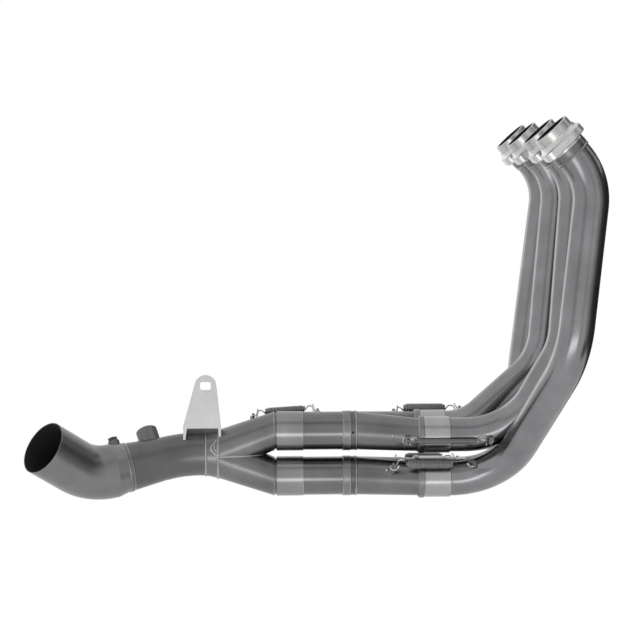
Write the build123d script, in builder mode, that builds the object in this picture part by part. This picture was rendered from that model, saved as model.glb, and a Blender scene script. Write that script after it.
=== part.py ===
"""Motorcycle exhaust header for a four-cylinder engine, four tubes into two and then into one.

Millimetres, +X forward, +Y to the far side, +Z up. The origin is the middle of the row of
exhaust ports, on the plane of their gaskets.
"""
import os
from math import acos, cos, degrees, radians, sin, sqrt, tan

from build123d import *

os.makedirs("parts", exist_ok=True)

# Exhaust ports of the cylinder head
port_angle = 47.0
outer_port_y = 136.0
inner_port_y = 56.0

# Header tubes
tube_r = 19.0
tube_wall = 1.2
tube_start = 36.0

# Port collar and port flange, distances along the port axis from the gasket plane
collar_r = 21.0
collar_bore = 17.0
collar_edge = 0.6
shoulder_end = 13.5
stub_r = 20.2
stub_taper = 4.0
bore_taper = 6.0
flange_clearance = 0.2
flange_r = 26.3
flange_front = 9.5
flange_lip = 15.0
flange_back = 23.5
flange_edge = 0.8
flange_neck_r = 22.4
stud_circle_r = 30.0
stud_hole_r = 4.25
eyelet_r = 8.0
stud_turn = 40.0

# Slip joints between the header tubes and the merges
joint_end_x = -91.0
sleeve_length = 28.5
sleeve_r = 20.3
sleeve_wall = 1.8
slip_clearance = 0.1
inlet_ring_length = 5.8
inlet_ring_r = 21.0
ring_edge = 0.5
spigot_length = 30.0

# Merges: two legs into one outlet, with the near or the far leg set a little lower
upper_z = -334.5
lower_z = -385.7
upper_joint_y = 22.0
lower_joint_y = 27.5
upper_near_drop = 2.2
lower_far_drop = 3.0
outlet_x = -194.0
outlet_r = 21.5
merge_wall = 1.2
weld_band_r = 21.9
weld_band_length = 7.0
end_ring_r = 22.4
end_ring_length = 7.3

# Secondary tubes and their slip joints into the Y piece
secondary_end_x = -253.8
secondary_sleeve_length = 29.4
secondary_sleeve_r = 22.3
secondary_sleeve_wall = 1.8
seam_gap = 2.6
y_spigot_length = 24.0

# Y piece
branch_end_x = -349.0
branch_start_r = 21.9
branch_end_r = 24.5
branch_end_rise = 2.5
sheet_wall = 1.4
y_collar_end_x = -362.5
y_collar_width = 24.9
y_collar_height = 27.2
collector_r = 24.2

# Collector tube and tail pipe
knee_x = -388.0
knee_bend_r = 110.0
ring_centre = Vector(-448.5, -17.7, -371.5)
flare_length = 37.3
flare_r = 27.0
collector_ring_r = 27.7
collector_ring_length = 4.0
tail_r = 30.0
tail_wall = 1.5
tail_flare_end = 17.0
tail_corner = 43.2
tail_bend_r = 58.0
tail_direction = Vector(-0.673, -0.528, 0.518).normalized()
tail_length = 72.0

# Springs and their anchors
spring_r = 5.9
slim_spring_r = 2.9
secondary_spring_r = 4.5
spring_gap = 0.5
spring_groove = 0.6
spring_cone = 4.0
spring_tip_step = 1.2
spring_turns = 8
secondary_spring_front = 30.0
secondary_spring_rear = 26.4
wire_r = 0.9
loop_r = 3.2
loop_bite = 1.0
loop_clearance = 0.05
hook_bend_r = 1.5
hook_peak_start = 0.35
hook_peak_end = 0.75
hook_rise_front = 6.5
hook_rise_rear = 4.0
stem_width = 3.0
stem_depth = 3.0
stem_root = 6.0
head_width = 8.0
head_height = 2.0
head_clearance = 0.2

# Bosses on the collector tube and the tail pipe
lambda_x = -418.0
lambda_lean = 38.0
lambda_boss_r = 12.0
lambda_thread_r = 9.0
lambda_hole_clearance = 0.8
lambda_top = 40.0
lambda_edge = 1.0
test_run = 8.5
test_lean = 28.0
test_boss_r = 6.5
test_boss_top = 33.0
test_hole_r = 4.0
test_plug_across = 10.0
test_plug_head = 4.0
test_plug_shank = 7.0

# Frame bracket, with its heights from the collector tube's centre line
bracket_x = -362.6
bracket_y = -16.0
bracket_fold_rise = 31.1
bracket_height = 47.5
bracket_top_r = 12.1
bracket_sheet = 2.5
bracket_rear_run = 25.1
bracket_front_run = 17.1
slot_width = 12.0
slot_height = 9.0
slot_corner_r = 2.5
side_rise = 11.0
side_depth = 15.0
foot_bite = 6.1

middle_z = (upper_z + lower_z) / 2
upward = Vector(0, 0, 1)
forward = Vector(1, 0, 0)
rearward = Vector(-1, 0, 0)
nearward = Vector(0, -1, 0)
port_axis = Vector(cos(radians(port_angle)), 0, -sin(radians(port_angle)))
tube_bore = tube_r - tube_wall
sleeve_bore = sleeve_r - sleeve_wall
spigot_r = sleeve_bore - slip_clearance
merge_x = joint_end_x - sleeve_length - inlet_ring_length
secondary_sleeve_bore = secondary_sleeve_r - secondary_sleeve_wall
y_spigot_r = secondary_sleeve_bore - slip_clearance
y_start_x = secondary_end_x - secondary_sleeve_length - seam_gap


def save(piece, name):
    piece.part.label = name
    export_step(piece.part, f"parts/{name}.step")


def bent_tube(corners, radii, outer, bore=0.0):
    """A bent tube, or a solid bar without a bore: straight runs joined by round bends."""
    with BuildPart() as tube:
        for radius, mode in ((outer, Mode.ADD), (bore, Mode.SUBTRACT)):
            if not radius:
                continue
            at = corners[0]
            for before, corner, after, bend_r in zip(corners, corners[1:], corners[2:], radii):
                inward = (corner - before).normalized()
                outward = (after - corner).normalized()
                turn = acos(inward.dot(outward))
                reach = bend_r * tan(turn / 2)
                bend_start = corner - inward * reach
                hub = bend_start + (outward - inward * inward.dot(outward)).normalized() * bend_r
                with BuildSketch(Plane(origin=at, z_dir=inward)):
                    Circle(radius)
                extrude(amount=(bend_start - at).length, mode=mode)
                with BuildSketch(Plane(origin=bend_start, z_dir=inward)):
                    Circle(radius)
                revolve(axis=Axis(hub, inward.cross(outward)), revolution_arc=degrees(turn), mode=mode)
                at = corner + outward * reach
            with BuildSketch(Plane(origin=at, z_dir=corners[-1] - at)):
                Circle(radius)
            extrude(amount=(corners[-1] - at).length, mode=mode)
    return tube


def ring(origin, direction, outer, bore, length, edge=0.0):
    """A plain ring or tube, with its outer corners broken by edge."""
    with BuildPart() as piece:
        with BuildSketch(Plane(origin=origin, z_dir=direction)):
            Circle(outer)
        extrude(amount=length)
        if edge:
            chamfer(piece.edges().filter_by(GeomType.CIRCLE), edge)
        with BuildSketch(Plane(origin=origin, z_dir=direction)):
            Circle(bore)
        extrude(amount=length, mode=Mode.SUBTRACT)
    return piece


def taper(start, start_r, end, end_r, direction=rearward):
    """A solid that changes from one circle to another, both square to the direction."""
    with BuildPart() as piece:
        with BuildSketch(Plane(origin=start, z_dir=direction)):
            Circle(start_r)
        with BuildSketch(Plane(origin=end, z_dir=direction)):
            Circle(end_r)
        loft(ruled=True)
    return piece.part


def profile_plane(origin, direction):
    """The plane of a turned piece's profile: radius along x, distance along y."""
    radius = direction.cross(upward).normalized()
    return Plane(origin=origin, x_dir=radius, z_dir=radius.cross(direction))


def anchor(place, outward, top, carrier):
    """A T-headed tab that a spring hooks on, with its foot cut to the part that carries it."""
    stem_top = top + wire_r + head_clearance
    with BuildPart() as tab:
        with BuildSketch(Plane(origin=place + outward * stem_root, x_dir=forward, z_dir=outward)):
            Rectangle(stem_depth, stem_width)
        extrude(amount=stem_top - stem_root)
        with BuildSketch(Plane(origin=place + outward * stem_top, x_dir=forward, z_dir=outward)):
            Rectangle(stem_depth, head_width)
        extrude(amount=head_height)
        add(carrier, mode=Mode.SUBTRACT)
    return tab


def hook(start, way, outward, tip_r, run, rise, drop):
    """A spring's end loop: two wires that rise, come down and close round an anchor's stem."""
    ahead = forward * way
    across = outward.cross(ahead)
    # The loop's end is drawn against the two outer corners of the anchor's stem.
    reach = sqrt((loop_r - wire_r - loop_clearance) ** 2 - (stem_width / 2) ** 2)
    tip = run + stem_depth / 2 - reach + loop_r
    foot = tip - loop_r - stem_depth
    side = [
        (0, 0, min(loop_r, tip_r - wire_r)),
        (hook_peak_start * foot, rise, loop_r),
        (hook_peak_end * foot, rise, loop_r),
        (foot, -drop, loop_r),
        (tip, -drop, loop_r),
    ]
    corners = [start + ahead * x + outward * height + across * half for x, height, half in side]
    corners += [
        start + ahead * x + outward * height - across * half for x, height, half in reversed(side)
    ]
    side_radii = (hook_bend_r, hook_bend_r, hook_bend_r, loop_r - loop_clearance)
    return bent_tube(corners, side_radii + side_radii[::-1], wire_r).part


def spring(place, outward, coil_r, offsets, coil_x, anchor_x, seats):
    """A close-wound tension spring with a hooked loop at each end; pairs give front and rear."""
    front = place + outward * offsets[0] + forward * coil_x[0]
    rear = place + outward * offsets[1] + forward * coil_x[1]
    along = (rear - front).normalized()
    length = (rear - front).length
    tip_r = coil_r - spring_tip_step
    pitch = (length - 2 * spring_cone) / spring_turns
    outline = [(0, 0), (tip_r, 0), (coil_r, spring_cone)]
    for turn in range(spring_turns):
        outline.append((coil_r - spring_groove, spring_cone + (turn + 0.5) * pitch))
        outline.append((coil_r, spring_cone + (turn + 1) * pitch))
    outline += [(tip_r, length), (0, length)]
    with BuildPart() as coil:
        with BuildSketch(profile_plane(front, along)):
            with BuildLine():
                Polyline(*outline, close=True)
            make_face()
        revolve(axis=Axis(front, along))
        for way, end, inward, stem_x, offset, seat, rise in (
            (1, front, along, anchor_x[0], offsets[0], seats[0], hook_rise_front),
            (-1, rear, -along, anchor_x[1], offsets[1], seats[1], hook_rise_rear),
        ):
            start = end + inward * loop_bite
            add(hook(start, way, outward, tip_r, (stem_x - start.X) * way, rise, offset - seat))
    return coil


# Header tubes, with the collar and the flange at each port. Each entry gives the port, the run
# to the first corner, the foot of the riser in X and Z, the corner before the slip joint, the
# slip joint's place and the three bend radii.
upper_near_z = upper_z - upper_near_drop
lower_far_z = lower_z - lower_far_drop
headers = {
    4: (-outer_port_y, 68.5, (27.0, -240.0), -34.0, -lower_joint_y, lower_z, (68, 100, 76)),
    3: (-inner_port_y, 66.5, (32.7, -234.5), -19.0, -upper_joint_y, upper_near_z, (68, 70, 84)),
    2: (inner_port_y, 66.5, (27.8, -260.5), -65.0, upper_joint_y, upper_z, (68, 70, 62)),
    1: (outer_port_y, 68.5, (18.7, -283.6), -8.0, lower_joint_y, lower_far_z, (68, 70, 76)),
}
tube_solids = {}

for number, (port_y, run, riser_foot, corner_x, joint_y, joint_z, radii) in headers.items():
    port = Vector(0, port_y, 0)
    joint = Vector(joint_end_x, joint_y, joint_z)
    corners = [
        port + port_axis * tube_start,
        port + port_axis * run,
        Vector(riser_foot[0], port_y, riser_foot[1]),
        Vector(corner_x, joint_y, joint_z),
        joint,
    ]
    save(bent_tube(corners, radii, tube_r, tube_bore), f"header_tube_{number}")
    tube_solids[number] = bent_tube(corners, radii, tube_r).part

    # The flange pushes on the collar's shoulder, which clamps the collar on its gasket.
    with BuildPart() as port_collar:
        with BuildSketch(profile_plane(port, port_axis)):
            with BuildLine():
                Polyline(
                    (collar_bore, 0),
                    (collar_r - collar_edge, 0),
                    (collar_r, collar_edge),
                    (collar_r, shoulder_end),
                    (stub_r, shoulder_end),
                    (stub_r, tube_start - stub_taper),
                    (tube_r + collar_edge, tube_start),
                    (tube_bore, tube_start),
                    (collar_bore, tube_start - bore_taper),
                    close=True,
                )
            make_face()
        revolve(axis=Axis(port, port_axis))
    save(port_collar, f"port_collar_{number}")

    with BuildPart() as port_flange:
        with BuildSketch(Plane(origin=port + port_axis * flange_lip, x_dir=nearward, z_dir=port_axis)):
            Circle(flange_r)
            with PolarLocations(stud_circle_r, 2, start_angle=stud_turn):
                Circle(eyelet_r)
            make_hull()
        extrude(amount=flange_back - flange_lip)
        chamfer(port_flange.faces().sort_by(Axis(port, port_axis))[-1].edges(), flange_edge)
        with BuildSketch(profile_plane(port, port_axis)):
            with BuildLine():
                Line((collar_bore, flange_front), (flange_neck_r, flange_front))
                TangentArc(
                    (flange_neck_r, flange_front),
                    (flange_r, flange_lip),
                    tangent=(0, 1),
                )
                Line((flange_r, flange_lip), (collar_bore, flange_lip))
                Line((collar_bore, flange_lip), (collar_bore, flange_front))
            make_face()
        revolve(axis=Axis(port, port_axis))
        with BuildSketch(Plane(origin=port, x_dir=nearward, z_dir=port_axis)):
            Circle(stub_r + flange_clearance)
            with PolarLocations(stud_circle_r, 2, start_angle=stud_turn):
                Circle(stud_hole_r)
        extrude(amount=flange_back, mode=Mode.SUBTRACT)
        with BuildSketch(Plane(origin=port, x_dir=nearward, z_dir=port_axis)):
            Circle(collar_r + flange_clearance)
        extrude(amount=shoulder_end, mode=Mode.SUBTRACT)
    save(port_flange, f"port_flange_{number}")

    save(ring(joint, rearward, sleeve_r, sleeve_bore, sleeve_length), f"header_sleeve_{number}")
    ring_start = joint + rearward * sleeve_length
    save(
        ring(ring_start, rearward, inlet_ring_r, spigot_r, inlet_ring_length, ring_edge),
        f"inlet_ring_{number}",
    )

# Merges, with the weld band, the end ring and the secondary tube behind each
merge_solids = {}

for name, height, joints in (
    ("upper", upper_z, ((-upper_joint_y, upper_near_z), (upper_joint_y, upper_z))),
    ("lower", lower_z, ((-lower_joint_y, lower_z), (lower_joint_y, lower_far_z))),
):
    outlet = Vector(outlet_x, 0, height)
    inlets = [Vector(merge_x, joint_y, joint_z) for joint_y, joint_z in joints]
    legs = [taper(inlet, spigot_r, outlet, outlet_r) for inlet in inlets]
    leg_bores = [taper(inlet, spigot_r - merge_wall, outlet, outlet_r - merge_wall) for inlet in inlets]
    with BuildPart() as merge_shape:
        for each in legs:
            add(each)
    merge_solids[name] = merge_shape.part
    with BuildPart() as merge:
        for each in legs:
            add(each)
        for inlet in inlets:
            with BuildSketch(Plane(origin=inlet, z_dir=forward)):
                Circle(spigot_r)
            extrude(amount=spigot_length)
        for each in leg_bores:
            add(each, mode=Mode.SUBTRACT)
        for inlet in inlets:
            with BuildSketch(Plane(origin=inlet, z_dir=forward)):
                Circle(spigot_r - merge_wall)
            extrude(amount=spigot_length, mode=Mode.SUBTRACT)
    save(merge, f"{name}_merge")

    bore = outlet_r - merge_wall
    save(ring(outlet, rearward, weld_band_r, bore, weld_band_length), f"{name}_weld_band")
    band_end = outlet + rearward * weld_band_length
    save(ring(band_end, rearward, end_ring_r, bore, end_ring_length, ring_edge), f"{name}_end_ring")
    tube_end = Vector(secondary_end_x, 0, height)
    ring_end = band_end + rearward * end_ring_length
    save(
        ring(ring_end, rearward, outlet_r, bore, (ring_end - tube_end).length),
        f"{name}_secondary_tube",
    )
    save(
        ring(
            tube_end,
            rearward,
            secondary_sleeve_r,
            secondary_sleeve_bore,
            secondary_sleeve_length,
        ),
        f"{name}_secondary_sleeve",
    )

# Y piece: two formed halves that meet on the middle plane
branch_solids = {}

for name, side, height in (("upper", 1, upper_z), ("lower", -1, lower_z)):
    branch_start = Vector(y_start_x, 0, height)
    branch_end = Vector(branch_end_x, 0, middle_z + side * branch_end_rise)
    outer = taper(branch_start, branch_start_r, branch_end, branch_end_r)
    inner = taper(branch_start, y_spigot_r - sheet_wall, branch_end, branch_end_r - sheet_wall)
    branch_solids[name] = outer
    with BuildPart() as branch:
        add(outer)
        with BuildSketch(Plane(origin=branch_start, z_dir=forward)):
            Circle(y_spigot_r)
        extrude(amount=y_spigot_length + seam_gap)
        add(inner, mode=Mode.SUBTRACT)
        with BuildSketch(Plane(origin=branch_start, z_dir=forward)):
            Circle(y_spigot_r - sheet_wall)
        extrude(amount=y_spigot_length + seam_gap, mode=Mode.SUBTRACT)
        split(bisect_by=Plane(origin=(0, 0, middle_z), z_dir=upward * side), keep=Keep.TOP)
    save(branch, f"y_branch_{name}")

collar_start = Vector(branch_end_x, 0, middle_z)
collar_end = Vector(y_collar_end_x, 0, middle_z)
collar_solids = []
for wall in (0.0, sheet_wall):
    with BuildPart() as collar_shape:
        with BuildSketch(Plane(origin=collar_start, x_dir=nearward, z_dir=rearward)):
            Ellipse(y_collar_width - wall, y_collar_height - wall)
        with BuildSketch(Plane(origin=collar_end, x_dir=nearward, z_dir=rearward)):
            Circle(collector_r - wall)
        loft(ruled=True)
    collar_solids.append(collar_shape.part)
with BuildPart() as y_collar:
    add(collar_solids[0])
    add(collar_solids[1], mode=Mode.SUBTRACT)
save(y_collar, "y_collar")

# Collector tube: a slight bend, then a flare up to the weld ring
knee = Vector(knee_x, 0, middle_z)
collector_direction = (ring_centre - knee).normalized()
flare_start = ring_centre - collector_direction * flare_length
collector_line = [collar_end, knee, flare_start], (knee_bend_r,)
collector_flare = taper(flare_start, collector_r, ring_centre, flare_r, collector_direction)
with BuildPart() as collector_shape:
    add(bent_tube(*collector_line, collector_r).part)
    add(collector_flare)

# Tail pipe: a short flare, then a bend up to the open mouth
tail_start = ring_centre + collector_direction * collector_ring_length
tail_flare_stop = ring_centre + collector_direction * tail_flare_end
tail_knee = ring_centre + collector_direction * tail_corner
mouth = tail_knee + tail_direction * tail_length
tail_line = [tail_flare_stop, tail_knee, mouth], (tail_bend_r,)
tail_flare = taper(tail_start, flare_r, tail_flare_stop, tail_r, collector_direction)


def leaning(lean):
    """Square to the collector's line, leaning from the top towards the far side."""
    top = (upward - collector_direction * upward.dot(collector_direction)).normalized()
    far = collector_direction.cross(top)
    if far.Y < 0:
        far = far * -1
    return top * cos(radians(lean)) + far * sin(radians(lean))


lambda_foot = knee + collector_direction * ((lambda_x - knee_x) / collector_direction.X)
lambda_axis = leaning(lambda_lean)
test_foot = ring_centre + collector_direction * test_run
test_axis = leaning(test_lean)

with BuildPart() as collector_tube:
    add(bent_tube(*collector_line, collector_r, collector_r - sheet_wall).part)
    add(collector_flare)
    add(
        taper(
            flare_start,
            collector_r - sheet_wall,
            ring_centre,
            flare_r - sheet_wall,
            collector_direction,
        ),
        mode=Mode.SUBTRACT,
    )
    with BuildSketch(Plane(origin=lambda_foot, z_dir=lambda_axis)):
        Circle(lambda_thread_r + lambda_hole_clearance)
    extrude(amount=lambda_top, mode=Mode.SUBTRACT)
save(collector_tube, "collector_tube")

collector_ring = ring(
    ring_centre,
    collector_direction,
    collector_ring_r,
    flare_r - sheet_wall,
    collector_ring_length,
    ring_edge,
)
save(collector_ring, "collector_ring")
ring_core = taper(ring_centre, collector_ring_r, tail_start, collector_ring_r, collector_direction)

with BuildPart() as tail_pipe:
    add(bent_tube(*tail_line, tail_r, tail_r - tail_wall).part)
    add(tail_flare)
    add(
        taper(
            tail_start,
            flare_r - tail_wall,
            tail_flare_stop,
            tail_r - tail_wall,
            collector_direction,
        ),
        mode=Mode.SUBTRACT,
    )
    with BuildSketch(Plane(origin=test_foot, z_dir=test_axis)):
        Circle(test_hole_r)
    extrude(amount=test_boss_top, mode=Mode.SUBTRACT)
save(tail_pipe, "tail_pipe")

with BuildPart() as lambda_boss:
    with BuildSketch(Plane(origin=lambda_foot, z_dir=lambda_axis)):
        Circle(lambda_boss_r)
    extrude(amount=lambda_top)
    chamfer(lambda_boss.faces().sort_by(Axis(lambda_foot, lambda_axis))[-1].edges(), lambda_edge)
    add(collector_shape.part, mode=Mode.SUBTRACT)
    with BuildSketch(Plane(origin=lambda_foot, z_dir=lambda_axis)):
        Circle(lambda_thread_r)
    extrude(amount=lambda_top, mode=Mode.SUBTRACT)
save(lambda_boss, "lambda_boss")

with BuildPart() as test_port_boss:
    with BuildSketch(Plane(origin=test_foot, z_dir=test_axis)):
        Circle(test_boss_r)
    extrude(amount=test_boss_top)
    add(tail_flare, mode=Mode.SUBTRACT)
    add(bent_tube(*tail_line, tail_r).part, mode=Mode.SUBTRACT)
    add(ring_core, mode=Mode.SUBTRACT)
    with BuildSketch(Plane(origin=test_foot, z_dir=test_axis)):
        Circle(test_hole_r)
    extrude(amount=test_boss_top, mode=Mode.SUBTRACT)
save(test_port_boss, "test_port_boss")

with BuildPart() as test_port_plug:
    with BuildSketch(Plane(origin=test_foot + test_axis * test_boss_top, z_dir=test_axis)):
        RegularPolygon(test_plug_across / sqrt(3), 6)
    extrude(amount=test_plug_head)
    with BuildSketch(Plane(origin=test_foot + test_axis * test_boss_top, z_dir=test_axis)):
        Circle(test_hole_r - slip_clearance)
    extrude(amount=-test_plug_shank)
save(test_port_plug, "test_port_plug")

# Springs and anchors of the header joints. Each entry gives the joint's merge, the spring's
# angle round the joint, its coil's radius, where its coil and its anchors stand along X, and how
# far from the joint's centre its loops sit on the anchors, front and rear.
header_springs = {
    4: ("lower", 134.0, spring_r, (-88.7, -140.7), (-66.5, -154.5), (26.4, 21.0)),
    3: ("upper", 190.0, slim_spring_r, (-60.0, -131.0), (-47.0, -141.0), (22.6, 21.0)),
    2: ("upper", 45.0, spring_r, (-86.7, -137.0), (-71.0, -147.5), (24.8, 21.0)),
    1: ("lower", 33.0, spring_r, (-88.4, -134.0), (-72.0, -149.0), (22.6, 21.0)),
}
for number, (name, angle, coil_r, coil_x, anchor_x, seats) in header_springs.items():
    outward = Vector(0, cos(radians(angle)), sin(radians(angle)))
    place = Vector(0, *headers[number][4:6])
    offset = inlet_ring_r + spring_gap + coil_r
    save(
        spring(place, outward, coil_r, (offset, offset), coil_x, anchor_x, seats),
        f"header_spring_{number}",
    )
    front_place = place + forward * anchor_x[0]
    save(anchor(front_place, outward, seats[0], tube_solids[number]), f"header_hook_{number}")
    rear_place = place + forward * anchor_x[1]
    save(anchor(rear_place, outward, seats[1], merge_solids[name]), f"merge_hook_{number}")

# Springs and anchors of the secondary joints
secondary_springs = {
    "upper": (upper_z, 48.0, (-249.4, -296.6), (-236.0, -309.0), (24.6, 18.5)),
    "lower": (lower_z, -10.0, (-249.4, -296.6), (-236.0, -309.0), (24.6, 22.2)),
}
for name, (height, angle, coil_x, anchor_x, seats) in secondary_springs.items():
    outward = Vector(0, cos(radians(angle)), sin(radians(angle)))
    place = Vector(0, 0, height)
    offsets = (secondary_spring_front, secondary_spring_rear)
    save(
        spring(place, outward, secondary_spring_r, offsets, coil_x, anchor_x, seats),
        f"{name}_secondary_spring",
    )
    tube_origin = Vector(secondary_end_x, 0, height)
    tube_stand = taper(
        tube_origin,
        outlet_r,
        tube_origin + forward * (anchor_x[0] - secondary_end_x + head_width),
        outlet_r,
        forward,
    )
    front_place = place + forward * anchor_x[0]
    save(anchor(front_place, outward, seats[0], tube_stand), f"{name}_front_hook")
    rear_place = place + forward * anchor_x[1]
    save(anchor(rear_place, outward, seats[1], branch_solids[name]), f"{name}_rear_hook")

# Frame bracket: a tall tab folded over at its foot, with a short side wall along each edge
bracket_fold_z = middle_z + bracket_fold_rise
bracket_top_z = bracket_fold_z + bracket_height
bracket_rear_x = bracket_x - bracket_rear_run
bracket_front_x = bracket_x + bracket_front_run
bracket_width = bracket_front_x - bracket_rear_x
side_top_z = bracket_fold_z + side_rise
foot_run = bracket_fold_rise - collector_r + foot_bite
fold_corner = bracket_sheet * sin(radians(45))
with BuildPart() as frame_bracket:
    with BuildSketch(Plane(origin=(0, bracket_y, 0), x_dir=forward, z_dir=nearward)):
        with Locations((bracket_x, bracket_top_z)):
            Circle(bracket_top_r)
        with Locations(((bracket_rear_x + bracket_front_x) / 2, bracket_fold_z + bracket_sheet / 2)):
            Rectangle(bracket_width, bracket_sheet)
        make_hull()
        with Locations((bracket_x, bracket_top_z)):
            RectangleRounded(slot_width, slot_height, slot_corner_r, mode=Mode.SUBTRACT)
    extrude(amount=-bracket_sheet)
    with BuildSketch(Plane(origin=(bracket_rear_x, 0, 0), x_dir=(0, 1, 0), z_dir=forward)):
        with BuildLine():
            Polyline(
                (bracket_y, bracket_fold_z),
                (bracket_y + foot_run, bracket_fold_z - foot_run),
                (bracket_y + foot_run + fold_corner, bracket_fold_z - foot_run + fold_corner),
                (bracket_y + bracket_sheet, bracket_fold_z + 2 * fold_corner - bracket_sheet),
                (bracket_y, bracket_fold_z + 2 * fold_corner - bracket_sheet),
                close=True,
            )
        make_face()
    extrude(amount=bracket_width)
    for edge_x, top_x, inward in (
        (bracket_rear_x, bracket_x - bracket_top_r, bracket_sheet),
        (bracket_front_x, bracket_x + bracket_top_r, -bracket_sheet),
    ):
        edge_top_x = edge_x + (top_x - edge_x) * side_rise / bracket_height
        with BuildSketch(Plane(origin=(0, bracket_y, 0), x_dir=forward, z_dir=nearward)):
            with BuildLine():
                Polyline(
                    (edge_x, bracket_fold_z - foot_run),
                    (edge_x, bracket_fold_z),
                    (edge_top_x, side_top_z),
                    (edge_top_x + inward, side_top_z),
                    (edge_x + inward, bracket_fold_z - foot_run),
                    close=True,
                )
            make_face()
        extrude(amount=-side_depth)
    add(collector_shape.part, mode=Mode.SUBTRACT)
    add(collar_solids[0], mode=Mode.SUBTRACT)
    add(branch_solids["upper"], mode=Mode.SUBTRACT)
save(frame_bracket, "frame_bracket")
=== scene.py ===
import math
import random

import bpy
from mathutils import Matrix, Vector


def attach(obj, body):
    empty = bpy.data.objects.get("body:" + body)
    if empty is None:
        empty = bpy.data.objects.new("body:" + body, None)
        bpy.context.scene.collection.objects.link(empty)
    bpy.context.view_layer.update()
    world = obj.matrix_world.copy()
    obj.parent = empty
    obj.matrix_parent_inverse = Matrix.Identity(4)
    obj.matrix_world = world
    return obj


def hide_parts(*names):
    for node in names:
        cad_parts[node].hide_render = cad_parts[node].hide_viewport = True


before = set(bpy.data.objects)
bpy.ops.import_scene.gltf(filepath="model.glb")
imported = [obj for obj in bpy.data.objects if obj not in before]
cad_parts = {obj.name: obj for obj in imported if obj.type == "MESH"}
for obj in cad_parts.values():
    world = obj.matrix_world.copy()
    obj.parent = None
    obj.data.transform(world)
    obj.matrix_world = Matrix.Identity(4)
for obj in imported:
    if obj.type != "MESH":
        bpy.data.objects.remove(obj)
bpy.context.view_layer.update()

random.seed(7)
MM = 0.001
FORWARD = Vector((1, 0, 0))
UPWARD = Vector((0, 0, 1))
WHITE = (1, 1, 1, 1)
scene = bpy.context.scene
scene.view_settings.view_transform = "Standard"

# Sizes shared with the solids, in millimetres
PORT_ANGLE = math.radians(47.0)
PORT_AXIS = Vector((math.cos(PORT_ANGLE), 0, -math.sin(PORT_ANGLE)))
PORT_Y = {4: -136.0, 3: -56.0, 2: 56.0, 1: 136.0}
TUBE_START = 36.0
UPPER_Z = -334.5
LOWER_Z = -385.7
MIDDLE_Z = (UPPER_Z + LOWER_Z) / 2
UPPER_NEAR_DROP = 2.2
LOWER_FAR_DROP = 3.0
JOINT_X = -91.0
JOINT_Y = {4: -27.5, 3: -22.0, 2: 22.0, 1: 27.5}
JOINT_Z = {4: LOWER_Z, 3: UPPER_Z - UPPER_NEAR_DROP, 2: UPPER_Z, 1: LOWER_Z - LOWER_FAR_DROP}
SLEEVE_LENGTH = 28.5
INLET_RING_LENGTH = 5.8
INLET_RING_R = 21.0
OUTLET_X = -194.0
WELD_BAND_END_X = -201.0
END_RING_END_X = -208.3
SECONDARY_END_X = -253.8
Y_START_X = -285.8
Y_START_R = 21.9
Y_START_RISE = UPPER_Z - MIDDLE_Z
Y_END_X = -349.0
Y_END_R = 24.5
Y_END_RISE = 2.5
Y_COLLAR_END_X = -362.5
KNEE = Vector((-388.0, 0, MIDDLE_Z))
RING = Vector((-448.5, -17.7, -371.5))
RING_LENGTH = 4.0
COLLECTOR_AXIS = (RING - KNEE).normalized()
TAIL_AXIS = Vector((-0.673, -0.528, 0.518)).normalized()
TAIL_CORNER = 43.2
TAIL_LENGTH = 72.0
MOUTH = RING + COLLECTOR_AXIS * TAIL_CORNER + TAIL_AXIS * TAIL_LENGTH

# Finish of the steel
VECTOR_MATHS = "ShaderNodeVectorMath"
PLAIN_MATHS = "ShaderNodeMath"
CLOUD_SCALE = 28.0
GRAIN_SCALE = 900.0
GRAIN = 0.02
GRAIN_RELIEF = 0.0002
# Painted shade: the near-black colour given to the inside of the bores
BORE_SHADE_COLOUR = (0.006, 0.006, 0.006, 1)


def node(tree, kind, **values):
    """A new shader node. Each value goes to the input of that name, or else to a setting."""
    made = tree.nodes.new(kind)
    for key, value in values.items():
        if key in made.inputs:
            made.inputs[key].default_value = value
        else:
            setattr(made, key, value)
    return made


def maths(tree, kind, operation, *given, result="Value"):
    """The result of a maths node. Each thing given is another node's output or a value."""
    made = node(tree, kind, operation=operation)
    for socket, source in zip(made.inputs, given):
        if isinstance(source, bpy.types.NodeSocket):
            tree.links.new(source, socket)
        else:
            socket.default_value = source
    return made.outputs[result]


def mixed(tree, share, first, colour):
    """A colour output that goes from the first output to a plain colour by share."""
    made = node(tree, "ShaderNodeMix", data_type="RGBA", B=colour)
    tree.links.new(share, made.inputs["Factor"])
    tree.links.new(first, made.inputs["A"])
    return made.outputs["Result"]


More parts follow.
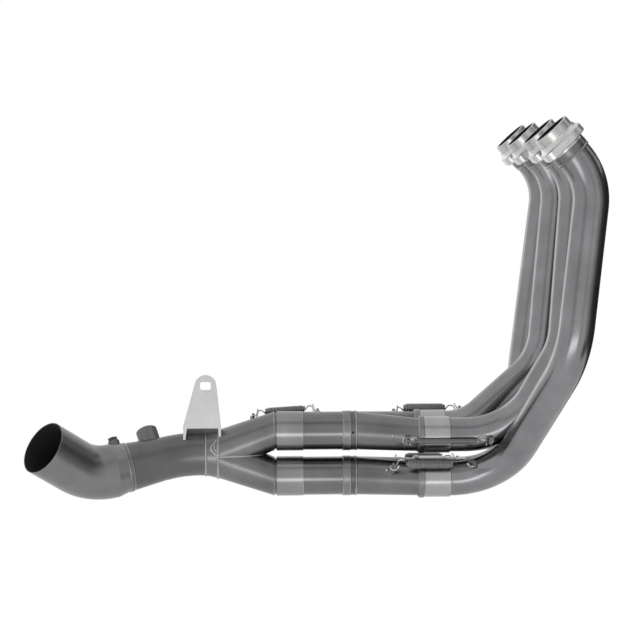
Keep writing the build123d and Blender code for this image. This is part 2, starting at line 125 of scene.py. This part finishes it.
def painted_shade_in_bore(tree, place, tone, roughness, bore_shade, stub):
    """Painted shade, dull and near black, on what lies within a radius of an axis and no more
    than a reach behind a point on it: it stands in for the shade deep in a bore. A stub gives
    the run along the axis from which the steel is darker, and its tone. The result is the
    steel's colour with the painted shade on it."""
    point, axis, radius, reach = bore_shade
    shader = tree.nodes["Principled BSDF"]
    offset = maths(tree, VECTOR_MATHS, "SUBTRACT", place, point * MM, result="Vector")
    along = maths(tree, VECTOR_MATHS, "DOT_PRODUCT", offset, axis)
    on_axis = maths(tree, VECTOR_MATHS, "PROJECT", offset, axis, result="Vector")
    distance = maths(tree, VECTOR_MATHS, "DISTANCE", offset, on_axis)
    inside = maths(tree, PLAIN_MATHS, "LESS_THAN", distance, radius * MM)
    shallow = maths(tree, PLAIN_MATHS, "GREATER_THAN", along, -reach * MM)
    in_bore_shade = maths(tree, PLAIN_MATHS, "MULTIPLY", inside, shallow)
    metallic = maths(tree, PLAIN_MATHS, "SUBTRACT", 1.0, in_bore_shade)
    tree.links.new(metallic, shader.inputs["Metallic"])
    dull = maths(tree, PLAIN_MATHS, "MAXIMUM", roughness, in_bore_shade)
    tree.links.new(dull, shader.inputs["Roughness"])
    if stub:
        run, level = stub
        # The stub's darker tone is its own plain steel with painted shade from the flange above it
        on_stub = maths(tree, PLAIN_MATHS, "GREATER_THAN", along, run * MM)
        tone = mixed(tree, on_stub, tone, (level, level, level, 1))
    return mixed(tree, in_bore_shade, tone, BORE_SHADE_COLOUR)


def steel(name, colour, rough, cloud=0.10, bump=0.015, grain_scale=GRAIN_SCALE, bore_shade=None, stub=None):
    """Satin steel with a cloudy tone and a fine grain in its roughness and its relief."""
    made = bpy.data.materials.new(name)
    made.use_nodes = True
    tree = made.node_tree
    shader = tree.nodes["Principled BSDF"]
    shader.inputs["Metallic"].default_value = 1.0
    place = node(tree, "ShaderNodeTexCoord").outputs["Object"]

    clouds = node(tree, "ShaderNodeTexNoise", Scale=CLOUD_SCALE, Detail=3.0, Roughness=0.55)
    tree.links.new(place, clouds.inputs["Vector"])
    ramp = node(tree, "ShaderNodeValToRGB")
    low, high = ramp.color_ramp.elements
    low.position = 0.32
    low.color = (*[c * (1 - cloud) for c in colour], 1)
    high.position = 0.68
    high.color = (*[min(1.0, c * (1 + cloud)) for c in colour], 1)
    tree.links.new(clouds.outputs["Fac"], ramp.inputs["Fac"])
    tone = ramp.outputs["Color"]

    fine = node(tree, "ShaderNodeTexNoise", Scale=grain_scale, Detail=2.0)
    tree.links.new(place, fine.inputs["Vector"])
    span = {"To Min": rough - GRAIN, "To Max": rough + GRAIN}
    roughness = node(tree, "ShaderNodeMapRange", **span)
    tree.links.new(fine.outputs["Fac"], roughness.inputs["Value"])
    tree.links.new(roughness.outputs["Result"], shader.inputs["Roughness"])
    relief = node(tree, "ShaderNodeBump", Strength=bump, Distance=GRAIN_RELIEF)
    tree.links.new(fine.outputs["Fac"], relief.inputs["Height"])
    tree.links.new(relief.outputs["Normal"], shader.inputs["Normal"])

    # Painted shade inside a bore, where one is given
    if bore_shade:
        tone = painted_shade_in_bore(tree, place, tone, roughness.outputs["Result"], bore_shade, stub)
    tree.links.new(tone, shader.inputs["Base Color"])
    return made


def dress(name, material):
    """Give a solid its material."""
    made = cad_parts[name]
    made.data.materials.clear()
    made.data.materials.append(material)


# Painted shade in the bores, in millimetres: a dull near-black colour where the bores lie deep in
# # shade. Its radius takes in the bore but not the outer wall. The port collars are darker from
# # STUB_RUN on, along the port's axis, partly for the stub's own plain steel and partly as painted
# # shade from the flange above it.
MOUTH_SHADE_R = 29.3
MOUTH_SHADE_REACH = 50.0
PORT_SHADE_R = 18.6
PORT_SHADE_REACH = 5.0
STUB_RUN = 26.5
# The stub's tone is partly its own plain steel and partly painted shade from the flange above it
STUB_TONE_AND_SHADE = 0.16

tube_steel = steel("tube_steel", (0.215, 0.217, 0.222), 0.22, cloud=0.13)
secondary_steel = steel("secondary_steel", (0.158, 0.158, 0.160), 0.21)
sheet_steel = steel("sheet_steel", (0.165, 0.165, 0.168), 0.30, cloud=0.14)
collector_steel = steel("collector_steel", (0.125, 0.126, 0.128), 0.34, cloud=0.12)
# Painted shade deep in the tail pipe's mouth
mouth_shade = (MOUTH, TAIL_AXIS, MOUTH_SHADE_R, MOUTH_SHADE_REACH)
tail_steel = steel("tail_steel", (0.190, 0.191, 0.194), 0.32, bore_shade=mouth_shade)
sleeve_steel = steel("sleeve_steel", (0.34, 0.34, 0.342), 0.24)
cuff_steel = steel("cuff_steel", (0.25, 0.25, 0.252), 0.24)
ring_steel = steel("ring_steel", (0.20, 0.20, 0.202), 0.30)
seam_steel = steel("seam_steel", (0.15, 0.15, 0.152), 0.34, cloud=0.12)
band_steel = steel("band_steel", (0.12, 0.12, 0.124), 0.34, cloud=0.25)
bracket_steel = steel("bracket_steel", (0.42, 0.42, 0.42), 0.42, cloud=0.06)
flange_steel = steel("flange_steel", (0.55, 0.55, 0.545), 0.34, cloud=0.12, bump=0.10)
boss_steel = steel("boss_steel", (0.16, 0.16, 0.163), 0.36)
plug_steel = steel("plug_steel", (0.10, 0.10, 0.102), 0.38)
spring_steel = steel("spring_steel", (0.24, 0.24, 0.243), 0.38, bump=0.0)
loop_steel = steel("loop_steel", (0.50, 0.50, 0.49), 0.30, bump=0.0)
hook_steel = steel("hook_steel", (0.15, 0.15, 0.152), 0.38, bump=0.0)
dot_steel = steel("dot_steel", (0.45, 0.45, 0.45), 0.45, bump=0.0)
spot_steel = steel("spot_steel", (0.02, 0.02, 0.02), 0.6, bump=0.0)
weld_steel = steel("weld_steel", (0.30, 0.30, 0.30), 0.30, cloud=0.35, bump=0.3, grain_scale=500.0)

for number, port_y in PORT_Y.items():
    # Painted shade in the port's bore
    port_shade = (Vector((0, port_y, 0)), PORT_AXIS, PORT_SHADE_R, PORT_SHADE_REACH)
    collar_steel = steel(
        f"collar_steel_{number}",
        (0.47, 0.47, 0.465),
        0.30,
        cloud=0.14,
        bore_shade=port_shade,
        stub=(STUB_RUN, STUB_TONE_AND_SHADE),
    )
    dress(f"port_collar_{number}", collar_steel)
    dress(f"port_flange_{number}", flange_steel)
    dress(f"header_tube_{number}", tube_steel)
    dress(f"header_sleeve_{number}", sleeve_steel)
    dress(f"inlet_ring_{number}", ring_steel)
    dress(f"header_hook_{number}", hook_steel)
    dress(f"merge_hook_{number}", hook_steel)
    dress(f"header_spring_{number}", spring_steel)
for side in ("upper", "lower"):
    dress(f"{side}_merge", sheet_steel)
    dress(f"{side}_weld_band", band_steel)
    dress(f"{side}_end_ring", ring_steel)
    dress(f"{side}_secondary_tube", secondary_steel)
    dress(f"{side}_secondary_sleeve", cuff_steel)
    dress(f"y_branch_{side}", sheet_steel)
    dress(f"{side}_front_hook", hook_steel)
    dress(f"{side}_rear_hook", hook_steel)
    dress(f"{side}_secondary_spring", spring_steel)
dress("y_collar", sheet_steel)
dress("collector_tube", collector_steel)
dress("collector_ring", seam_steel)
dress("tail_pipe", tail_steel)
dress("lambda_boss", boss_steel)
dress("test_port_boss", boss_steel)
dress("test_port_plug", plug_steel)
dress("frame_bracket", bracket_steel)


def wire(name, points, radii, material, sides, closed=False, squash=1.0, centre=None):
    """A round wire along points in millimetres, with one radius for each point. With a
    centre, its section is flattened towards that centre by squash."""
    count = len(points)
    verts = []
    faces = []
    normal = None
    for i, (p, radius) in enumerate(zip(points, radii)):
        after = points[(i + 1) % count] if closed or i < count - 1 else p
        before = points[i - 1] if closed or i > 0 else p
        tangent = (after - before).normalized()
        if centre is not None:
            normal = p - centre
        elif normal is None:
            normal = tangent.orthogonal()
        normal = (normal - tangent * normal.dot(tangent)).normalized()
        across = tangent.cross(normal)
        for k in range(sides):
            turn = 2 * math.pi * k / sides
            spot = p + normal * (math.cos(turn) * radius * squash)
            verts.append((spot + across * (math.sin(turn) * radius)) * MM)
    last = count if closed else count - 1
    for i in range(last):
        j = (i + 1) % count
        for k in range(sides):
            m = (k + 1) % sides
            faces.append((i * sides + k, i * sides + m, j * sides + m, j * sides + k))
    if not closed:
        faces.append(tuple(reversed(range(sides))))
        faces.append(tuple((count - 1) * sides + k for k in range(sides)))
    mesh = bpy.data.meshes.new(name)
    mesh.from_pydata(verts, [], faces)
    mesh.validate()
    mesh.update()
    for face in mesh.polygons:
        face.use_smooth = True
    made = bpy.data.objects.new(name, mesh)
    scene.collection.objects.link(made)
    made.data.materials.append(material)
    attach(made, "root")
    return made


# Weld beads: each ripple is drawn by a few sections that grow, and the bead's size wanders.
RIPPLE_LENGTH = 1.0
RIPPLE_PARTS = 3
WANDER_STEP = 0.06
WANDER_KEPT = 0.9
BEAD_SIDES = 6
BEAD_SQUASH = 0.55
BEAD_END_SHARES = (0.4, 0.6, 0.8)


def bead(name, points, size, centre, closed=True, uneven=0.18):
    """A weld bead with overlapping ripples along a line of points, flattened towards a
    centre."""
    dense = []
    count = len(points)
    last = count if closed else count - 1
    for i in range(last):
        a, b = points[i], points[(i + 1) % count]
        cuts = max(1, round((b - a).length / (RIPPLE_LENGTH / RIPPLE_PARTS)))
        for c in range(cuts):
            dense.append(a.lerp(b, c / cuts))
    if not closed:
        dense.append(points[-1])
    radii = []
    wander = 0.0
    for i in range(len(dense)):
        wander = WANDER_KEPT * wander + random.uniform(-WANDER_STEP, WANDER_STEP)
        ripple = (i % RIPPLE_PARTS) / (RIPPLE_PARTS - 1) - 0.5
        radii.append(size * (1 + uneven * ripple + wander))
    if not closed:
        for i, share in enumerate(BEAD_END_SHARES):
            radii[i] *= share
            radii[-1 - i] *= share
    made = wire(name, dense, radii, weld_steel, BEAD_SIDES, closed, BEAD_SQUASH, centre)


def circle(centre, axis, radius, parts=72):
    """Points on a circle round an axis."""
    side = axis.cross(UPWARD).normalized()
    other = axis.cross(side)
    points = []
    for i in range(parts):
        turn = 2 * math.pi * i / parts
        points.append(centre + side * (radius * math.cos(turn)) + other * (radius * math.sin(turn)))
    return points


def round_weld(name, centre, axis, radius, size):
    """A bead all round a tube, at the seam's radius."""
    bead(name, circle(centre, axis, radius), size, centre)


# Round welds on the tubes, each with the radius of its seam and the size of its bead
BRANCH_WELD_X = Y_START_X - 0.4
for number, port_y in PORT_Y.items():
    tube_end = Vector((0, port_y, 0)) + PORT_AXIS * TUBE_START
    round_weld(f"collar_weld_{number}", tube_end, PORT_AXIS, 19.5, 1.3)
    joint = Vector((JOINT_X, JOINT_Y[number], JOINT_Z[number]))
    round_weld(f"sleeve_weld_{number}", joint, FORWARD, 19.6, 0.9)
    ring_end = joint - FORWARD * (SLEEVE_LENGTH + INLET_RING_LENGTH)
    round_weld(f"inlet_weld_{number}", ring_end, FORWARD, 18.9, 1.2)
for side, height in (("upper", UPPER_Z), ("lower", LOWER_Z)):
    for label, x, radius, size in (
        ("merge", OUTLET_X, 21.7, 1.1),
        ("band", WELD_BAND_END_X, 22.0, 0.9),
        ("ring", END_RING_END_X, 21.8, 0.8),
        ("cuff", SECONDARY_END_X, 21.8, 0.8),
        ("branch", BRANCH_WELD_X, 21.4, 1.0),
    ):
        round_weld(f"{side}_{label}_weld", Vector((x, 0, height)), FORWARD, radius, size)


# The seam between the two formed branches of the Y piece follows where their rounds meet.
SEAM_FRONT_X = -296.0
SEAM_POINTS = 60


def branch_at(x):
    """A branch's radius at x, and how far its centre lies from the middle."""
    share = (Y_START_X - x) / (Y_START_X - Y_END_X)
    radius = Y_START_R + (Y_END_R - Y_START_R) * share
    rise = Y_START_RISE + (Y_END_RISE - Y_START_RISE) * share
    return radius, rise


seam = []
for i in range(SEAM_POINTS):
    x = Y_END_X + i * (SEAM_FRONT_X - Y_END_X) / (SEAM_POINTS - 1)
    radius, rise = branch_at(x)
    if radius > rise:
        seam.append((x, math.sqrt(radius**2 - rise**2)))
near_line = [Vector((x, -y, MIDDLE_Z)) for x, y in seam]
far_line = [Vector((x, y, MIDDLE_Z)) for x, y in reversed(seam)]
seam_middle = Vector((-330.0, 0, MIDDLE_Z))
bead("branch_seam_weld", near_line + far_line, 1.5, seam_middle, closed=False)

# Welds of the Y piece's collar, which is oval in front and round behind. On its near side the
# front weld runs out into a crumpled patch, where each point is given by x and its rise.
COLLAR_FRONT_WIDE = 24.8
COLLAR_FRONT_HIGH = 27.1
COLLAR_REAR_R = 24.3
COLLAR_PARTS = 80
PATCH_LINE = [(-349.5, 1), (-353, 4), (-357, 8.5), (-356.5, 12), (-353, 15.5), (-350, 19.5)]
SCAR_LINE = [(-350.0, 5.0), (-353.5, 10.0), (-352.0, 14.0)]


def oval(x, wide, high):
    """Points on an upright oval round the middle of the collar."""
    turns = [2 * math.pi * i / COLLAR_PARTS for i in range(COLLAR_PARTS)]
    return [Vector((x, wide * math.cos(turn), MIDDLE_Z + high * math.sin(turn))) for turn in turns]


def on_collar(x, rise):
    """A point of the collar's near side, between its oval front and its round rear."""
    share = (Y_END_X - x) / (Y_END_X - Y_COLLAR_END_X)
    wide = COLLAR_FRONT_WIDE + (COLLAR_REAR_R - COLLAR_FRONT_WIDE) * share
    high = COLLAR_FRONT_HIGH + (COLLAR_REAR_R - COLLAR_FRONT_HIGH) * share
    return Vector((x, -wide * math.sqrt(1 - (rise / high) ** 2), MIDDLE_Z + rise))


for label, x, wide, high, size in (
    ("front", Y_END_X, COLLAR_FRONT_WIDE, COLLAR_FRONT_HIGH, 1.5),
    ("rear", Y_COLLAR_END_X, COLLAR_REAR_R, COLLAR_REAR_R, 1.4),
):
    centre = Vector((x, 0, MIDDLE_Z))
    bead(f"y_collar_{label}_weld", oval(x, wide, high), size, centre, uneven=0.3)
collar_middle = Vector((-355.0, 0, MIDDLE_Z))
for label, line, size in (("patch", PATCH_LINE, 1.5), ("scar", SCAR_LINE, 1.0)):
    points = [on_collar(x, rise) for x, rise in line]
    name = f"y_collar_{label}_weld"
    bead(name, points, size, collar_middle, closed=False, uneven=0.35)
for label, run, radius in (("front", 0.0, 27.2), ("rear", RING_LENGTH, 27.3)):
    round_weld(f"ring_{label}_weld", RING + COLLECTOR_AXIS * run, COLLECTOR_AXIS, radius, 0.8)


# Springs. The stem's outer face stands at REACH from the centre of the loop round it, so that
# the stem's corners are a small clearance from the wire.
WIRE_R = 0.9
WIRE_SIDES = 8
LOOP_R = 3.2
LOOP_BITE = 1.0
LOOP_CLEARANCE = 0.05
STEM = 3.0
REACH = math.sqrt((LOOP_R - WIRE_R - LOOP_CLEARANCE) ** 2 - (STEM / 2) ** 2)
HOOK_PEAK_START = 0.35
HOOK_PEAK_END = 0.75
HOOK_RISE_FRONT = 6.5
HOOK_RISE_REAR = 4.0
HOOK_BEND_R = 3.0
FREE_END_RUN = 0.80
FREE_END_RISE = 0.75
BEND_SHARE = 0.48
BEND_PARTS = 6
SPRING_GAP = 0.5
TIP_STEP = 1.2
TURN_GAP = 0.03
TURN_PARTS = 18
CONE_TURNS = 2.5
LOOP_STEEL_PARTS = 6


def rounded(corners, radii):
    """A line through corners, each rounded by its radius as far as its runs allow."""
    out = [corners[0]]
    for before, corner, after, radius in zip(corners, corners[1:], corners[2:], radii):
        inward = (corner - before).normalized()
        outward = (after - corner).normalized()
        reach = radius * math.tan(inward.angle(outward) / 2)
        reach = min(reach, (corner - before).length * BEND_SHARE, (after - corner).length * BEND_SHARE)
        first, last = corner - inward * reach, corner + outward * reach
        for i in range(BEND_PARTS + 1):
            t = i / BEND_PARTS
            out.append(first * (1 - t) ** 2 + corner * (2 * t * (1 - t)) + last * t**2)
    out.append(corners[-1])
    return out


def spring(node_name, place, angle, coil_r, offsets, coil, anchors, seats):
    """One length of wire: a hook round the front anchor, the close coil, and the rear hook.
    Pairs give front and rear: the coil's distance from the joint's axis, its ends and the
    anchors along X, and the loops' distance from the axis."""
    outward = Vector((0, math.cos(math.radians(angle)), math.sin(math.radians(angle))))
    across = outward.cross(FORWARD)
    start = min(LOOP_R, coil_r - TIP_STEP - WIRE_R)

    def at(x, a, o):
        return place + FORWARD * x + across * a + outward * o

    def hook(way, body_x, offset, anchor_x, seat, rise):
        """From the coil's end up, down and round the anchor's stem, and back a little."""
        begin = body_x - way * LOOP_BITE
        tip = (anchor_x - begin) * way + STEM / 2 - REACH + LOOP_R
        foot = tip - LOOP_R - STEM
        high = offset + rise
        side = [
            (0.0, start, offset),
            (HOOK_PEAK_START * foot, LOOP_R, high),
            (HOOK_PEAK_END * foot, LOOP_R, high),
            (foot, LOOP_R, seat),
            (tip, LOOP_R, seat),
            (tip, -LOOP_R, seat),
            (foot, -LOOP_R, seat),
            (FREE_END_RUN * foot, -LOOP_R, seat + (high - seat) * FREE_END_RISE),
        ]
        corners = [at(begin + way * x, a, o) for x, a, o in side]
        return rounded(corners, (HOOK_BEND_R, HOOK_BEND_R, HOOK_BEND_R, LOOP_R, LOOP_R, HOOK_BEND_R))

    front_x, rear_x = coil
    wound = front_x - rear_x - 2 * WIRE_R
    turns = round(wound / (2 * WIRE_R + TURN_GAP))
    middle = []
    for i in range(turns * TURN_PARTS + 1):
        run = i / TURN_PARTS
        end = min(run, turns - run)
        radius = start + (coil_r - WIRE_R - start) * min(1.0, end / CONE_TURNS)
        turn = 2 * math.pi * run
        x = front_x - WIRE_R - wound * run / turns
        offset = offsets[0] + (offsets[1] - offsets[0]) * (front_x - x) / (front_x - rear_x)
        middle.append(at(x, radius * math.cos(turn), offset + radius * math.sin(turn)))
    front = list(reversed(hook(1, front_x, offsets[0], anchors[0], seats[0], HOOK_RISE_FRONT)))
    rear = hook(-1, rear_x, offsets[1], anchors[1], seats[1], HOOK_RISE_REAR)
    points = front + middle + rear
    made = wire(f"{node_name}_wire", points, [WIRE_R] * len(points), spring_steel, WIRE_SIDES)
    made.data.materials.append(loop_steel)
    first_coil = len(front) + LOOP_STEEL_PARTS
    last_coil = len(front) + len(middle) - LOOP_STEEL_PARTS
    for face in made.data.polygons:
        section = face.vertices[0] // WIRE_SIDES
        if section < first_coil or section > last_coil:
            face.material_index = 1
    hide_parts(node_name)


# For each header spring: its angle round the joint, the coil's radius, and the pairs of coil
# ends, anchors and seats
header_springs = {
    4: (134.0, 5.9, (-88.7, -140.7), (-66.5, -154.5), (26.4, 21.0)),
    3: (190.0, 2.9, (-60.0, -131.0), (-47.0, -141.0), (22.6, 21.0)),
    2: (45.0, 5.9, (-86.7, -137.0), (-71.0, -147.5), (24.8, 21.0)),
    1: (33.0, 5.9, (-88.4, -134.0), (-72.0, -149.0), (22.6, 21.0)),
}
for number, (angle, coil_r, coil, anchors, seats) in header_springs.items():
    place = Vector((0, JOINT_Y[number], JOINT_Z[number]))
    offset = INLET_RING_R + SPRING_GAP + coil_r
    spring(f"header_spring_{number}", place, angle, coil_r, (offset, offset), coil, anchors, seats)

SECONDARY_COIL_R = 4.5
SECONDARY_OFFSETS = (30.0, 26.4)
SECONDARY_COIL = (-249.4, -296.6)
SECONDARY_ANCHORS = (-236.0, -309.0)
for side, height, angle, seats in (
    ("upper", UPPER_Z, 48.0, (24.6, 18.5)),
    ("lower", LOWER_Z, -10.0, (24.6, 22.2)),
):
    spring(
        f"{side}_secondary_spring",
        Vector((0, 0, height)),
        angle,
        SECONDARY_COIL_R,
        SECONDARY_OFFSETS,
        SECONDARY_COIL,
        SECONDARY_ANCHORS,
        seats,
    )

# Small plug welds on the merges, and the dark drain spot of the upper weld band. Each is a
# dome, drawn by its heights over the surface and the radius at each height.
DOT_HEIGHTS = (-0.8, 0.0, 0.5, 0.7)
DOT_RADII = (1.9, 1.8, 1.1, 0.3)
DOT_SIDES = 12
for name, spot, normal, material in (
    ("upper_plug_weld", (-154.4, -32.6, -337.0), (0, -1, 0), dot_steel),
    ("lower_plug_weld", (-161.0, -31.2, -374.7), (0, -0.83, 0.55), dot_steel),
    ("upper_band_spot", (-198.0, -21.6, -334.0), (0, -1, 0.02), spot_steel),
):
    axis = Vector(normal).normalized()
    points = [Vector(spot) + axis * height for height in DOT_HEIGHTS]
    dot = wire(name, points, DOT_RADII, material, DOT_SIDES)


# Studio, in metres
STUDIO_MIDDLE = Vector((-0.25, 0, -0.2))
FLOOR_CENTRE = Vector((-0.25, 0, -1.2))
FLOOR_WIDTH = 80.0


def aimed(centre, direction):
    """The place of a flat thing whose front looks along the direction."""
    return Matrix.Translation(centre) @ direction.to_track_quat("Z", "Y").to_matrix().to_4x4()


def panel(name, centre, toward, width, height, material):
    """A flat panel that faces a point."""
    made = bpy.data.objects.new(name, bpy.data.meshes.new(name))
    w, h = width / 2, height / 2
    made.data.from_pydata([(-w, -h, 0), (w, -h, 0), (w, h, 0), (-w, h, 0)], [], [(0, 1, 2, 3)])
    made.data.update()
    made.matrix_world = aimed(centre, (toward - centre).normalized())
    scene.collection.objects.link(made)
    made.data.materials.append(material)
    return made


def card(name, centre, width, height, level):
    """A glowing card that shows only as a reflection in the metal."""
    tone = bpy.data.materials.new(f"{name}_tone")
    tone.use_nodes = True
    tree = tone.node_tree
    tree.nodes.remove(tree.nodes["Principled BSDF"])
    glow = node(tree, "ShaderNodeEmission", Strength=1.0, Color=(level, level, level, 1))
    tree.links.new(glow.outputs["Emission"], tree.nodes["Material Output"].inputs["Surface"])
    made = panel(name, Vector(centre), STUDIO_MIDDLE, width, height, tone)
    made.visible_camera = False
    made.visible_diffuse = False
    made.visible_shadow = False
    made.visible_transmission = False


floor_material = bpy.data.materials.new("floor_white")
floor_material.use_nodes = True
floor_shader = floor_material.node_tree.nodes["Principled BSDF"]
floor_shader.inputs["Base Color"].default_value = WHITE
floor_shader.inputs["Roughness"].default_value = 1.0
floor_shader.inputs["Specular IOR Level"].default_value = 0.0
panel("floor", FLOOR_CENTRE, FLOOR_CENTRE + UPWARD, FLOOR_WIDTH, FLOOR_WIDTH, floor_material)

card("flag_behind", (1.55, 1.20, -0.30), 3.2, 1.8, 0.05)
card("flag_high", (0.62, 0.45, 0.50), 0.60, 0.50, 0.12)
card("flag_low", (1.24, -0.74, -0.95), 0.60, 0.40, 0.12)
card("flag_right", (1.75, -0.42, 0.10), 0.75, 2.6, 0.10)
card("flag_right_soft", (1.62, -1.10, 0.0), 0.70, 2.6, 0.55)
card("flag_camera", (0.75, -2.4, 0.0), 0.28, 3.0, 0.70)
card("flag_left", (-2.2, -2.6, 0.2), 1.2, 2.6, 0.70)
card("flag_above", (-0.2, -1.6, 1.9), 4.0, 0.9, 0.60)
card("glow_left", (-1.30, 1.90, -0.10), 0.80, 2.8, 1.7)

# The softbox shines from below and in front. A lamp shines backwards, away from its own front.
softbox_centre = Vector((-0.60, -2.2, -1.05))
softbox_lamp = bpy.data.lights.new("softbox_front", "AREA")
softbox_lamp.shape = "RECTANGLE"
softbox_lamp.size = 1.8
softbox_lamp.size_y = 0.75
softbox_lamp.energy = 9.5
softbox = bpy.data.objects.new("softbox_front", softbox_lamp)
scene.collection.objects.link(softbox)
softbox.matrix_world = aimed(softbox_centre, (softbox_centre - STUDIO_MIDDLE).normalized())

world = bpy.data.worlds.new("studio")
scene.world = world
world.use_nodes = True
world.node_tree.nodes["Background"].inputs["Color"].default_value = WHITE
world.node_tree.nodes["Background"].inputs["Strength"].default_value = 1.0

# The camera stands a little left of straight on and a little above, as the photograph's did.
# Its focal length and the origin's place, right of the picture's middle and above it, are in
# pixels.
PICTURE_WIDTH = 640.0
FOCAL_LENGTH = 1784.0
ORIGIN_RIGHT = 208.5
ORIGIN_UP = 187.0
SENSOR_WIDTH = 36.0
CAMERA_DISTANCE = 2000.0
CAMERA_TURN = math.radians(-2.9)
CAMERA_RISE = math.radians(4.3)
turn_sin, turn_cos = math.sin(CAMERA_TURN), math.cos(CAMERA_TURN)
rise_sin, rise_cos = math.sin(CAMERA_RISE), math.cos(CAMERA_RISE)
right = Vector((turn_cos, turn_sin, 0))
back = Vector((turn_sin * rise_cos, -turn_cos * rise_cos, rise_sin))
up = Vector((-turn_sin * rise_sin, turn_cos * rise_sin, rise_cos))
side_step = ORIGIN_RIGHT / FOCAL_LENGTH * CAMERA_DISTANCE
down_step = ORIGIN_UP / FOCAL_LENGTH * CAMERA_DISTANCE
eye = (back * CAMERA_DISTANCE - right * side_step - up * down_step) * MM
camera_data = bpy.data.cameras.new("camera")
camera_data.sensor_width = SENSOR_WIDTH
camera_data.lens = SENSOR_WIDTH * FOCAL_LENGTH / PICTURE_WIDTH
camera_data.clip_start = 0.05
camera_data.clip_end = 200.0
camera = bpy.data.objects.new("camera", camera_data)
scene.collection.objects.link(camera)
turned = Matrix((right, up, back)).transposed().to_4x4()
camera.matrix_world = Matrix.Translation(eye) @ turned
scene.camera = camera
